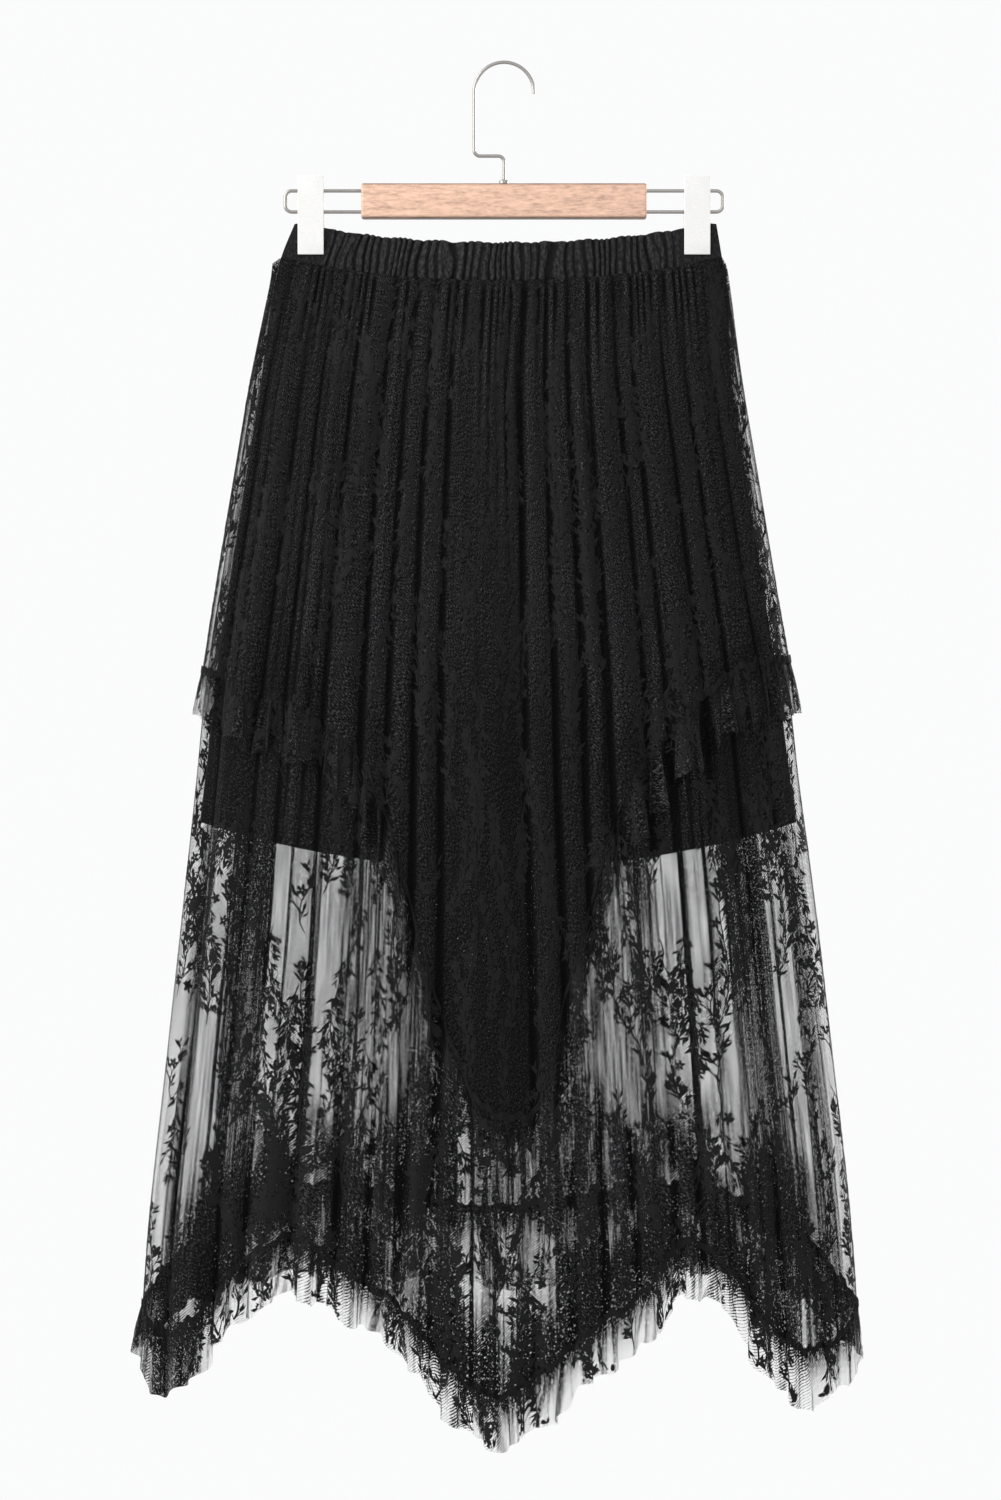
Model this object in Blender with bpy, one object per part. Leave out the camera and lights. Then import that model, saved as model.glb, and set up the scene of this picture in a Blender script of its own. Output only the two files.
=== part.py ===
"""A lace skirt of two tiers with ruffled handkerchief hems, hung by two clips from a hanger.

Metres, +Z up, front facing -Y, +X to the viewer's right. The origin is the inner crown of
the hanger's hook, where a rod would carry it.
"""

import math

import bmesh
import bpy
import numpy as np

# Cloth
WALL = 0.001
SEAM_GAP = 0.0003
BAND_WALL = 0.0036
BAND_GROOVE = 0.0013
BAND_BULGE = 0.0006
BAND_GATHERS = 24
RUFFLE_WAVES = 20
COLUMNS_PER_WAVE = 4
COLUMNS_PER_GATHER = 3
LINING_COLUMNS = 30

# Outset of each layer from the inner face of the stack, and how far the upper tier lifts below
LOWER_OUTSET = WALL + SEAM_GAP
UPPER_OUTSET = 2 * LOWER_OUTSET
UPPER_LIFT = 0.003
UPPER_RUFFLE_DEPTH = 0.008
LOWER_RUFFLE_DEPTH = 0.009

# Waist, as heights at the side seams and sags at the centre
BAND_TOP_Z = -0.1355
BAND_TOP_SAG = 0.0180
BAND_BOTTOM_Z = -0.1655
BAND_BOTTOM_SAG = 0.0205
WAIST_OPEN = 0.008
PINCH_START = 0.82
ROUNDING_DROP = 0.12

# Lining hem
LINING_HEM_Z = -0.648
LINING_HEM_SAG = 0.039

# Hanger
WIRE_RADIUS = 0.0015
WIRE_PLAY = 0.0003
HOOK_RADIUS = 0.0255
HOOK_BEND = 0.005
HOOK_STEP_Z = -0.0787
BAR_LENGTH = 0.2440
BAR_DEPTH = 0.0120
BAR_HEIGHT = 0.0300
BAR_Z = -0.1175
BAR_ROUNDING = 0.0022
SOCKET_DEPTH = 0.012
SOCKET_RADIUS = 0.0019
WIRE_INSERT = 0.010
FERRULE_RADIUS = 0.0042
FERRULE_HEIGHT = 0.0030
FERRULE_CHAMFER = 0.0008
FERRULE_SIDES = 16
RAIL_END_X = 0.1870
RAIL_SPACING = 0.0180
CLIP_X = 0.1650
CLIP_WIDTH = 0.0222
CLIP_TOP_Z = -0.0965
CLIP_BOTTOM_Z = -0.1635
CLIP_PLATE = 0.0021
CLIP_FLARE = 0.0020
CLIP_BULGE = 0.0006
CLIP_GRIP_HEIGHT = 0.012
CLIP_JAW_HEIGHT = 0.004
CLIP_ROUNDING = 0.0004

# Inner edges of the tiers, half depths of tiers and lining, how far the lining stands in at
# the sides, and the height of a fold as a share of its width
SECTION_COLUMNS = ("z", "left", "right", "depth", "lining_depth", "lining_inset", "fold")
SECTIONS = (
    (-0.135, -0.1787, 0.1813, 0.008, 0.0080, 0.000, 0.02),
    (-0.165, -0.1900, 0.1860, 0.008, 0.0080, 0.000, 0.03),
    (-0.190, -0.1955, 0.1895, 0.010, 0.0085, 0.001, 0.05),
    (-0.260, -0.2090, 0.1965, 0.017, 0.0140, 0.004, 0.14),
    (-0.350, -0.2245, 0.2110, 0.021, 0.0178, 0.005, 0.18),
    (-0.450, -0.2410, 0.2275, 0.024, 0.0202, 0.006, 0.20),
    (-0.530, -0.2530, 0.2410, 0.026, 0.0220, 0.007, 0.21),
    (-0.610, -0.2610, 0.2500, 0.027, 0.0230, 0.006, 0.22),
    (-0.700, -0.2705, 0.2620, 0.028, 0.0238, 0.005, 0.23),
    (-0.850, -0.2867, 0.2795, 0.030, 0.0238, 0.005, 0.24),
    (-1.000, -0.3027, 0.2957, 0.032, 0.0238, 0.005, 0.25),
    (-1.180, -0.3130, 0.3060, 0.034, 0.0238, 0.005, 0.25),
)

# Valleys between the folds, across the width from -1 at the left seam to 1 at the right
FOLD_VALLEYS = (
    -0.93, -0.80, -0.72, -0.59, -0.46, -0.37, -0.28, -0.19, -0.09,
    0.08, 0.20, 0.29, 0.38, 0.48, 0.57, 0.70, 0.79, 0.90,
)  # fmt: skip

# Hems: where each ruffle is sewn on, and its free edge
HEM_COLUMNS = ("across", "head", "edge")
UPPER_HEM = (
    (-1.00, -0.517, -0.556),
    (-0.84, -0.538, -0.585),
    (-0.63, -0.553, -0.600),
    (-0.43, -0.606, -0.654),
    (-0.34, -0.662, -0.712),
    (-0.28, -0.716, -0.768),
    (-0.22, -0.772, -0.824),
    (-0.14, -0.838, -0.890),
    (-0.07, -0.882, -0.930),
    (0.02, -0.896, -0.944),
    (0.10, -0.892, -0.942),
    (0.15, -0.856, -0.906),
    (0.20, -0.796, -0.848),
    (0.26, -0.742, -0.796),
    (0.32, -0.690, -0.742),
    (0.38, -0.646, -0.698),
    (0.46, -0.608, -0.658),
    (0.62, -0.562, -0.610),
    (0.82, -0.520, -0.568),
    (1.00, -0.508, -0.555),
)
LOWER_HEM_FRONT = (
    (-1.00, -1.058, -1.100),
    (-0.95, -1.080, -1.132),
    (-0.84, -1.066, -1.118),
    (-0.76, -1.035, -1.080),
    (-0.57, -1.000, -1.047),
    (-0.42, -1.030, -1.075),
    (-0.28, -1.058, -1.102),
    (-0.14, -1.108, -1.155),
    (0.00, -1.132, -1.179),
    (0.12, -1.112, -1.160),
    (0.26, -1.076, -1.122),
    (0.40, -1.046, -1.092),
    (0.52, -1.003, -1.049),
    (0.62, -1.020, -1.066),
    (0.74, -1.070, -1.120),
    (0.84, -1.095, -1.146),
    (0.94, -1.085, -1.133),
    (1.00, -1.058, -1.106),
)
LOWER_HEM_BACK = (
    (-1.00, -1.058, -1.100),
    (-0.85, -1.000, -1.060),
    (-0.60, -0.968, -1.040),
    (0.00, -0.985, -1.052),
    (0.60, -0.968, -1.040),
    (0.85, -1.000, -1.060),
    (1.00, -1.058, -1.106),
)


def column(table, names, name):
    return np.array([row[names.index(name)] for row in table])


def section(name, z):
    heights = column(SECTIONS, SECTION_COLUMNS, "z")
    return float(np.interp(-z, -heights, column(SECTIONS, SECTION_COLUMNS, name)))


def hem(table, name, across):
    places = column(table, HEM_COLUMNS, "across")
    return float(np.interp(across, places, column(table, HEM_COLUMNS, name)))


def smooth(share):
    share = min(max(share, 0.0), 1.0)
    return share * share * (3 - 2 * share)


def band_top(across):
    return BAND_TOP_Z - BAND_TOP_SAG * (1 - across * across)


def band_bottom(across):
    return BAND_BOTTOM_Z - BAND_BOTTOM_SAG * (1 - across * across)


def lining_hem(across):
    return LINING_HEM_Z - LINING_HEM_SAG * (1 - across * across)


def ruffle_phase(angle):
    """0 at the left seam and RUFFLE_WAVES at the right one, unevenly spaced between."""
    share = 0.5 + 0.5 * (0.35 * angle / (math.pi / 2) + 0.65 * math.sin(angle))
    unevenness = 0.22 * math.sin(6 * math.pi * share) + 0.12 * math.sin(14 * math.pi * share)
    return RUFFLE_WAVES * share + unevenness


def wave_angles():
    """The angles of the columns, the same share of a ruffle wave apart."""
    fine = np.linspace(-math.pi / 2, math.pi / 2, 2001)
    phases = [ruffle_phase(angle) for angle in fine]
    wanted = np.linspace(0, RUFFLE_WAVES, RUFFLE_WAVES * COLUMNS_PER_WAVE + 1)
    return [float(angle) for angle in np.interp(wanted, phases, fine)]


def even_angles(count):
    return [float(angle) for angle in np.linspace(-math.pi / 2, math.pi / 2, count + 1)]


def fold_height(angle, z, side):
    """How far a fold stands out: nothing in its valleys, most between them."""
    across = side * math.sin(angle)
    valleys = [-1.0, *FOLD_VALLEYS, 1.0]
    place = min(max(int(np.searchsorted(valleys, across)) - 1, 0), len(valleys) - 2)
    width = valleys[place + 1] - valleys[place]
    share = (across - valleys[place]) / width
    half = (section("right", z) - section("left", z)) / 2
    return section("fold", z) * width * half * (0.5 - 0.5 * math.cos(2 * math.pi * share))


def base_point(angle, z, lined):
    """The plain oval that a layer follows, pinched flat at the clips and rounder below."""
    across = math.sin(angle)
    rounding = smooth((band_bottom(across) - z) / ROUNDING_DROP)
    inset = section("lining_inset", z) * rounding if lined else 0.0
    left = section("left", z) + inset
    right = section("right", z) - inset
    depth = section("lining_depth" if lined else "depth", z)
    pinch = min(abs(across) / PINCH_START, 1.0)
    lens = WAIST_OPEN * math.cos(math.pi / 2 * pinch) ** 2
    oval = depth * math.cos(angle)
    x = (left + right) / 2 + (right - left) / 2 * across
    return np.array([x, -(SEAM_GAP / 2 + (1 - rounding) * lens + rounding * oval)])


def outward(curve, angle):
    """The level direction out of a curve, across its tangent at this angle."""
    step = 0.0005
    low = max(angle - step, -math.pi / 2)
    high = min(angle + step, math.pi / 2)
    along = curve(high) - curve(low)
    length = float(np.hypot(*along))
    if length < 1e-9:
        return np.array([0.0, -1.0])
    return np.array([along[1], -along[0]]) / length


def layer_point(angle, z, outset, wave, side, lined):
    """A point of a layer's inner face, moved out from the plain oval by outset, fold and wave."""
    lift = outset + wave
    if not lined:
        lift += fold_height(angle, z, side)
    out = outward(lambda at: base_point(at, z, lined), angle)
    return base_point(angle, z, lined) + lift * out


def even_wall(angle, row):
    return WALL


def wall_rows(angles, heights, outset, wave, side, lined=False, wall=even_wall):
    """Inner and outer points of a layer, a row for each height function, top to bottom."""
    inner, outer = [], []
    for row, height in enumerate(heights):
        inside, outside = [], []
        for angle in angles:
            across = math.sin(angle)
            z = height(across)

            def face(at):
                return layer_point(at, z, outset(at, z), wave(at, row), side, lined)

            point = face(angle)
            out = outward(face, angle)
            out[1] = min(out[1], 0.0)
            end = point + wall(angle, row) * out
            inside.append((point[0], side * point[1], z))
            outside.append((end[0], side * min(end[1], -SEAM_GAP / 2), z))
        inner.append(inside)
        outer.append(outside)
    return inner, outer


def flat(angle, row):
    return 0.0


def innermost(angle, z):
    return 0.0


def lower_outset(angle, z):
    return LOWER_OUTSET


def upper_outset(angle, z):
    drop = band_bottom(math.sin(angle)) - z
    return UPPER_OUTSET + UPPER_LIFT * smooth(drop / ROUNDING_DROP)


def ruffle_wave(depth, shift):
    """A wave that starts flat at the ruffle's head and is deepest at its free edge."""
    shares = (0.0, 0.6, 1.0)

    def wave(angle, row):
        phase = ruffle_phase(angle)
        swell = 0.8 + 0.2 * math.cos(2 * math.pi * (0.27 * phase + shift))
        return depth * shares[row] * swell * (0.5 + 0.5 * math.cos(2 * math.pi * phase))

    return wave


def between(top, bottom, share):
    return lambda across: top(across) + (bottom(across) - top(across)) * share


def below(height):
    return lambda across: height(across) - SEAM_GAP


def tier_top(across):
    return band_bottom(across) - SEAM_GAP


def material(name, colour, roughness, metallic=0.0):
    made = bpy.data.materials.new(name)
    made.use_nodes = True
    shader = made.node_tree.nodes["Principled BSDF"]
    shader.inputs["Base Color"].default_value = (*colour, 1.0)
    shader.inputs["Roughness"].default_value = roughness
    shader.inputs["Metallic"].default_value = metallic
    return made


def add_object(name, mesh, made):
    obj = bpy.data.objects.new(name, mesh)
    bpy.context.scene.collection.objects.link(obj)
    mesh.materials.append(made)
    return obj


def add_wall(name, made, faces_of_wall):
    """Closes an inner and an outer grid of points into one wall."""
    inner, outer = faces_of_wall
    shape = bmesh.new()
    near = [[shape.verts.new(point) for point in row] for row in inner]
    far = [[shape.verts.new(point) for point in row] for row in outer]
    last_row, last_column = len(near) - 1, len(near[0]) - 1
    for i in range(last_row):
        for j in range(last_column):
            shape.faces.new((near[i][j], near[i][j + 1], near[i + 1][j + 1], near[i + 1][j]))
            shape.faces.new((far[i][j], far[i + 1][j], far[i + 1][j + 1], far[i][j + 1]))
    for i in (0, last_row):
        for j in range(last_column):
            shape.faces.new((near[i][j], far[i][j], far[i][j + 1], near[i][j + 1]))
    for j in (0, last_column):
        for i in range(last_row):
            shape.faces.new((near[i][j], near[i + 1][j], far[i + 1][j], far[i][j]))
    bmesh.ops.recalc_face_normals(shape, faces=shape.faces)
    mesh = bpy.data.meshes.new(name)
    shape.to_mesh(mesh)
    shape.free()
    mesh.shade_smooth()
    mesh.set_sharp_from_angle(angle=math.radians(50))
    return add_object(name, mesh, made)


def add_waistband(name, made, side):
    angles = even_angles(BAND_GATHERS * COLUMNS_PER_GATHER)
    heights = [band_top, between(band_top, band_bottom, 0.5), band_bottom]
    bulges = (0.0, BAND_BULGE, 0.0)

    def wall(angle, row):
        across = math.sin(angle)
        free = smooth((PINCH_START - abs(across)) / 0.1)
        share = 0.5 + angle / math.pi
        phase = BAND_GATHERS * share + 0.2 * math.sin(10 * math.pi * share)
        groove = BAND_GROOVE * (0.5 + 0.5 * math.cos(2 * math.pi * phase))
        return BAND_WALL + free * (bulges[row] - groove)

    add_wall(name, made, wall_rows(angles, heights, innermost, flat, side, True, wall))


def add_lining(name, made, side):
    heights = [between(tier_top, lining_hem, share) for share in (0, 0.12, 0.4, 1)]
    angles = even_angles(LINING_COLUMNS)
    add_wall(name, made, wall_rows(angles, heights, innermost, flat, side, True))


def add_tiers(end, made, side, lower_hem):
    """The two tiers and their ruffles on one side. The upper ones are the lower's points moved out."""
    angles = wave_angles()

    def upper(name):
        return lambda across: hem(UPPER_HEM, name, across)

    def lower(name):
        return lambda across: hem(lower_hem, name, across)

    over = [between(tier_top, upper("head"), share) for share in (0, 0.12, 0.45, 1)]
    under = [upper("edge"), between(upper("edge"), lower("head"), 0.5), lower("head")]
    upper_ruffle = [between(below(upper("head")), upper("edge"), share) for share in (0, 0.5, 1)]
    lower_ruffle = [between(below(lower("head")), lower("edge"), share) for share in (0, 0.5, 1)]
    upper_waves = ruffle_wave(UPPER_RUFFLE_DEPTH, 0.0)
    lower_waves = ruffle_wave(LOWER_RUFFLE_DEPTH, 0.3)

    pieces = (
        ("upper_tier_", over, upper_outset, flat),
        ("lower_tier_", over + under, lower_outset, flat),
        ("upper_ruffle_", upper_ruffle, upper_outset, upper_waves),
        ("lower_ruffle_", lower_ruffle, lower_outset, lower_waves),
    )
    for name, heights, outset, wave in pieces:
        add_wall(name + end, made, wall_rows(angles, heights, outset, wave, side))


def arc(x, z, radius, start, end, count):
    """Points of an arc in the XZ plane, its angles in degrees from +X."""
    turns = [math.radians(start + (end - start) * i / count) for i in range(count + 1)]
    return [(x + radius * math.cos(turn), 0.0, z + radius * math.sin(turn)) for turn in turns]


def add_wire(name, made, points):
    curve = bpy.data.curves.new(name, "CURVE")
    curve.dimensions = "3D"
    curve.bevel_depth = WIRE_RADIUS
    curve.bevel_resolution = 2
    curve.use_fill_caps = True
    spline = curve.splines.new("POLY")
    spline.points.add(len(points) - 1)
    for place, point in zip(spline.points, points, strict=True):
        place.co = (*point, 1.0)
    return add_object(name, curve, made)


def add_hook(made):
    crown_z = WIRE_RADIUS - HOOK_RADIUS
    points = arc(0.0, crown_z, HOOK_RADIUS, -3, 180, 18)
    points += arc(HOOK_BEND - HOOK_RADIUS, HOOK_STEP_Z + HOOK_BEND, HOOK_BEND, 180, 270, 5)
    points += arc(-HOOK_BEND, HOOK_STEP_Z - HOOK_BEND, HOOK_BEND, 90, 0, 5)
    points.append((0.0, 0.0, BAR_Z + BAR_HEIGHT / 2 - WIRE_INSERT))
    add_wire("hanger_hook", made, points)


def add_rail(name, made, side):
    """A U of wire, both ends held in the end of the bar."""
    radius = RAIL_SPACING / 2
    start = BAR_LENGTH / 2 - WIRE_INSERT
    points = [(start, 0.0, BAR_Z + radius)]
    points += arc(RAIL_END_X - radius, BAR_Z, radius, 90, -90, 10)
    points.append((start, 0.0, BAR_Z - radius))
    add_wire(name, made, [(side * x, y, z) for x, y, z in points])


def add_socket_cutter(name, centre, axis):
    """A guide that bores one wire's socket, twice as long as the socket is deep."""
    shape = bmesh.new()
    bmesh.ops.create_cone(
        shape,
        cap_ends=True,
        segments=16,
        radius1=SOCKET_RADIUS,
        radius2=SOCKET_RADIUS,
        depth=2 * SOCKET_DEPTH,
    )
    mesh = bpy.data.meshes.new(name)
    shape.to_mesh(mesh)
    shape.free()
    cutter = bpy.data.objects.new(name, mesh)
    bpy.context.scene.collection.objects.link(cutter)
    cutter.location = centre
    if axis == "X":
        cutter.rotation_euler = (0.0, math.pi / 2, 0.0)
    cutter.hide_render = True
    cutter.display_type = "WIRE"
    return cutter


def add_bar(made):
    shape = bmesh.new()
    bmesh.ops.create_cube(shape, size=1.0)
    bmesh.ops.scale(shape, vec=(BAR_LENGTH, BAR_DEPTH, BAR_HEIGHT), verts=shape.verts)
    mesh = bpy.data.meshes.new("hanger_bar")
    shape.to_mesh(mesh)
    shape.free()
    bar = add_object("hanger_bar", mesh, made)
    bar.location = (0.0, 0.0, BAR_Z)
    bevel = bar.modifiers.new("rounded_edges", "BEVEL")
    bevel.width = BAR_ROUNDING
    bevel.segments = 2
    cutters = [add_socket_cutter("socket_hook", (0.0, 0.0, BAR_Z + BAR_HEIGHT / 2), "Z")]
    for side, end in ((-1, "left"), (1, "right")):
        for level, place in ((1, "top"), (-1, "bottom")):
            centre = (side * BAR_LENGTH / 2, 0.0, BAR_Z + level * RAIL_SPACING / 2)
            cutters.append(add_socket_cutter(f"socket_{end}_{place}", centre, "X"))
    for cutter in cutters:
        cut = bar.modifiers.new("cut_" + cutter.name, "BOOLEAN")
        cut.operation = "DIFFERENCE"
        cut.object = cutter


def add_ferrule(made):
    """A collar round the hook's shank, on top of the bar."""
    inner = WIRE_RADIUS + WIRE_PLAY
    bottom = BAR_Z + BAR_HEIGHT / 2 + SEAM_GAP
    top = bottom + FERRULE_HEIGHT
    profile = (
        (inner, bottom),
        (FERRULE_RADIUS, bottom),
        (FERRULE_RADIUS, top - FERRULE_CHAMFER),
        (FERRULE_RADIUS - FERRULE_CHAMFER, top),
        (inner, top),
    )
    shape = bmesh.new()
    corners = [shape.verts.new((x, 0.0, z)) for x, z in profile]
    edges = [shape.edges.new((corners[i - 1], corners[i])) for i in range(len(corners))]
    bmesh.ops.spin(
        shape,
        geom=corners + edges,
        cent=(0, 0, 0),
        axis=(0, 0, 1),
        angle=2 * math.pi,
        steps=FERRULE_SIDES,
        use_merge=True,
    )
    bmesh.ops.remove_doubles(shape, verts=shape.verts, dist=1e-6)
    bmesh.ops.recalc_face_normals(shape, faces=shape.faces)
    mesh = bpy.data.meshes.new("hanger_ferrule")
    shape.to_mesh(mesh)
    shape.free()
    mesh.shade_smooth()
    mesh.set_sharp_from_angle(angle=math.radians(40))
    add_object("hanger_ferrule", mesh, made)


def add_clip(name, made, x):
    """Two plates joined by a web that sits between the rail's wires, jaws on the band."""
    jaw = SEAM_GAP / 2 + BAND_WALL + SEAM_GAP
    outer = jaw + CLIP_PLATE
    neck = BAR_Z + RAIL_SPACING / 2 - WIRE_RADIUS - WIRE_PLAY
    foot = BAR_Z - RAIL_SPACING / 2 + WIRE_RADIUS + WIRE_PLAY
    grip = CLIP_BOTTOM_Z + CLIP_GRIP_HEIGHT
    half = (
        (jaw + CLIP_FLARE, CLIP_TOP_Z),
        (outer + CLIP_FLARE, CLIP_TOP_Z),
        (outer, BAR_Z),
        (outer + CLIP_BULGE, grip),
        (outer, CLIP_BOTTOM_Z),
        (jaw, CLIP_BOTTOM_Z),
        (jaw, CLIP_BOTTOM_Z + CLIP_JAW_HEIGHT),
        (jaw + CLIP_BULGE, grip),
        (jaw, foot),
    )
    back = [(y, z) for y, z in half] + [(-y, z) for y, z in reversed(half)]
    back += [(-jaw, neck), (jaw, neck)]
    shape = bmesh.new()
    left = [shape.verts.new((x - CLIP_WIDTH / 2, y, z)) for y, z in back]
    face = shape.faces.new(left)
    pushed = bmesh.ops.extrude_face_region(shape, geom=[face])
    moved = [item for item in pushed["geom"] if isinstance(item, bmesh.types.BMVert)]
    bmesh.ops.translate(shape, vec=(CLIP_WIDTH, 0.0, 0.0), verts=moved)
    bmesh.ops.recalc_face_normals(shape, faces=shape.faces)
    mesh = bpy.data.meshes.new(name)
    shape.to_mesh(mesh)
    shape.free()
    clip = add_object(name, mesh, made)
    bevel = clip.modifiers.new("softened_edges", "BEVEL")
    bevel.width = CLIP_ROUNDING
    bevel.segments = 1


def main():
    for obj in list(bpy.data.objects):
        bpy.data.objects.remove(obj)
    lace = material("black_lace", (0.012, 0.012, 0.013), 0.75)
    jersey = material("black_jersey", (0.010, 0.010, 0.011), 0.8)
    wood = material("pale_wood", (0.62, 0.42, 0.29), 0.45)
    chrome = material("chrome_wire", (0.75, 0.75, 0.76), 0.15, 1.0)
    nickel = material("satin_clip", (0.88, 0.87, 0.85), 0.35)
    for end, side, lower_hem in (("front", 1, LOWER_HEM_FRONT), ("back", -1, LOWER_HEM_BACK)):
        add_waistband("waistband_" + end, lace, side)
        add_lining("lining_" + end, jersey, side)
        add_tiers(end, lace, side, lower_hem)
    add_bar(wood)
    add_hook(chrome)
    add_ferrule(chrome)
    add_rail("rail_left", chrome, -1)
    add_rail("rail_right", chrome, 1)
    add_clip("clip_left", nickel, -CLIP_X)
    add_clip("clip_right", nickel, CLIP_X)


main()
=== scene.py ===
"""Looks for a black lace skirt of two ruffled tiers, hung by two clips from a wooden hanger."""

import math

import bmesh
import bpy
import numpy as np
from mathutils import Matrix, Vector


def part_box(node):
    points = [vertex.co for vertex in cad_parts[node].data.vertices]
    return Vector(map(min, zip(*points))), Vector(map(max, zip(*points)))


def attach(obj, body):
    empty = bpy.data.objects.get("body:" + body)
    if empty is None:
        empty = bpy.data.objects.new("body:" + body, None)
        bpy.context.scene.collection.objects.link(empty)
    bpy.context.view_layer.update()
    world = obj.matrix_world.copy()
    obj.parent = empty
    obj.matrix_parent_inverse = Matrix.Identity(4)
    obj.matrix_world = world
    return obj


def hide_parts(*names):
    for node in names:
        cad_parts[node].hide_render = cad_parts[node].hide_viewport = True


bl_info = {
    "name": "Tiered lace skirt",
    "version": (1, 0, 0),
    "blender": (4, 5, 0),
    "location": "View3D > Sidebar > Lace skirt",
    "description": "Makes a tiered lace skirt on a clip hanger",
    "category": "Object",
}

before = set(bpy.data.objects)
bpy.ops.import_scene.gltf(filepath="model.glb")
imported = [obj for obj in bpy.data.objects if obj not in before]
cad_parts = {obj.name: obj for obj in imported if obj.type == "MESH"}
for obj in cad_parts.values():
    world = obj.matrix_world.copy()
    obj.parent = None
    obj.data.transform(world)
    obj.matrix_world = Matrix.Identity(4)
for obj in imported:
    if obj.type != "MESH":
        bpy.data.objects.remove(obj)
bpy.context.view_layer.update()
SIDES = (("front", 1), ("back", -1))
QUARTER_TURN = math.pi / 2
FULL_TURN = 2 * math.pi
MERGE_DISTANCE = 1e-6

# Waist and lining, as heights at the side seams and sags at the centre
BAND_TOP_Z = -0.1355
BAND_TOP_SAG = 0.0180
BAND_BOTTOM_Z = -0.1655
BAND_BOTTOM_SAG = 0.0205
LINING_HEM_Z = -0.648
LINING_HEM_SAG = 0.039
WAIST_OPEN = 0.008
PINCH_START = 0.82
ROUNDING_DROP = 0.12
SEAM_GAP = 0.0003

# Layers, outwards from the lining's inner face. The upper tier stands off further below the band
WALL = 0.001
LOWER_OUTSET = 0.0018
UPPER_OUTSET = 0.0031
UPPER_LIFT = 0.003
BAND_WALL = 0.0036
LINING_THICKNESS = 0.0007
ELASTIC_THICKNESS = 0.0018
SEAM_ABOVE = 0.0022
SEAM_BELOW = 0.0042
MOTIF_PROUD = 0.0003
STITCH_PROUD = 0.0005

# Folds, pleats and waves. Shares of the width run from 0 at the centre to 1 at the side seams
RUFFLE_WAVES = 20
RUFFLE_FALL = 0.048
SIDE_FADE = 0.05
CREST_REACH = 0.019
CREST_HEIGHT = 0.0026
PLEAT_COUNT = 15
PLEAT_HEIGHT = 0.0024
PUCKER_START = 0.006
PUCKER_REACH = 0.055
SHOULDER_REACH = 0.022
CLIP_ACROSS = 0.90

# Columns and rows of each cloth's grid, and the flat widths that no setting changes
GRIDS = {"tier": (420, 64), "ruffle": (640, 14), "lining": (160, 40), "band": (520, 20), "seam": (500, 2)}
LINING_WIDTH = 0.50
BAND_WIDTH = 0.46
LOWER_FULLNESS = 1.5
UPPER_FULLNESS = 1.4

SECTION_COLUMNS = ("z", "left", "right", "depth", "lining_depth", "lining_inset", "fold")
SECTIONS = (
    (-0.135, -0.1787, 0.1813, 0.008, 0.0080, 0.000, 0.02),
    (-0.165, -0.1900, 0.1860, 0.008, 0.0080, 0.000, 0.03),
    (-0.190, -0.1955, 0.1895, 0.010, 0.0085, 0.001, 0.05),
    (-0.260, -0.2090, 0.1965, 0.017, 0.0140, 0.004, 0.14),
    (-0.350, -0.2245, 0.2110, 0.021, 0.0178, 0.005, 0.18),
    (-0.450, -0.2410, 0.2275, 0.024, 0.0202, 0.006, 0.20),
    (-0.530, -0.2530, 0.2410, 0.026, 0.0220, 0.007, 0.21),
    (-0.610, -0.2610, 0.2500, 0.027, 0.0230, 0.006, 0.22),
    (-0.700, -0.2705, 0.2620, 0.028, 0.0238, 0.005, 0.23),
    (-0.850, -0.2867, 0.2795, 0.030, 0.0238, 0.005, 0.24),
    (-1.000, -0.3027, 0.2957, 0.032, 0.0238, 0.005, 0.25),
    (-1.180, -0.3130, 0.3060, 0.034, 0.0238, 0.005, 0.25),
)

# Valleys between the main folds, across the width from -1 to 1
FOLD_VALLEYS = (
    -0.93, -0.80, -0.72, -0.59, -0.46, -0.37, -0.28, -0.19,
    0.10, 0.20, 0.29, 0.38, 0.50, 0.57, 0.70, 0.79, 0.90,
)  # fmt: skip
WIDEST_FOLD = 0.14

HEM_COLUMNS = ("across", "head", "edge")
UPPER_HEM = (
    (-1.00, -0.517, -0.556),
    (-0.84, -0.538, -0.585),
    (-0.63, -0.553, -0.600),
    (-0.43, -0.606, -0.654),
    (-0.34, -0.662, -0.712),
    (-0.28, -0.716, -0.768),
    (-0.22, -0.772, -0.824),
    (-0.14, -0.838, -0.890),
    (-0.07, -0.882, -0.930),
    (0.02, -0.896, -0.944),
    (0.10, -0.892, -0.942),
    (0.15, -0.856, -0.906),
    (0.20, -0.796, -0.848),
    (0.26, -0.742, -0.796),
    (0.32, -0.690, -0.742),
    (0.38, -0.646, -0.698),
    (0.46, -0.608, -0.658),
    (0.62, -0.562, -0.610),
    (0.82, -0.520, -0.568),
    (1.00, -0.508, -0.555),
)
LOWER_HEM_FRONT = (
    (-1.00, -1.058, -1.100),
    (-0.95, -1.080, -1.132),
    (-0.84, -1.066, -1.118),
    (-0.76, -1.035, -1.083),
    (-0.57, -1.000, -1.049),
    (-0.42, -1.030, -1.070),
    (-0.28, -1.058, -1.095),
    (-0.14, -1.108, -1.152),
    (0.00, -1.132, -1.172),
    (0.12, -1.112, -1.158),
    (0.26, -1.076, -1.117),
    (0.40, -1.046, -1.090),
    (0.52, -1.003, -1.049),
    (0.62, -1.020, -1.061),
    (0.74, -1.070, -1.120),
    (0.84, -1.095, -1.143),
    (0.94, -1.085, -1.128),
    (1.00, -1.058, -1.106),
)
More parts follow.
